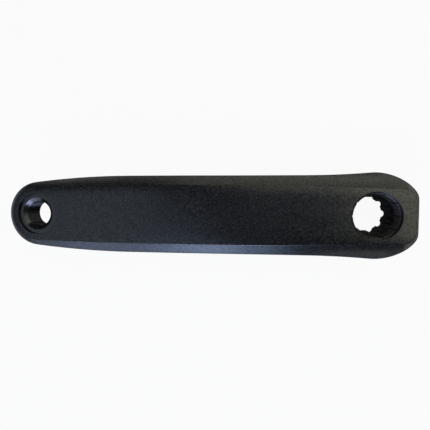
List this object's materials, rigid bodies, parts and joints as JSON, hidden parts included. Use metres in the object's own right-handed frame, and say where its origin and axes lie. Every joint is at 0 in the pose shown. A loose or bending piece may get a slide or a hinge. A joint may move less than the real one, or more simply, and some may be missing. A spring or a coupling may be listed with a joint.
{
  "type": "bicycle crank arm",
  "caption": "Flat forged crank arm with bevelled long edges, a splined and threaded spindle bore at one end and a threaded pedal eye with a washer seat at the other.",
  "frame": {"origin": "on the spindle axis, at the inboard face of the boss", "axes": "+Z along the spindle axis, outboard; -X along the arm to the pedal eye; +Y across the arm"},
  "size_m": [0.2049, 0.0414, 0.0355],
  "materials": {
    "arm_finish": "dark satin coating with a fine grain"
  },
  "bodies": {
    "root": {"crank_arm": "arm_finish"}
  },
  "joints": []
}
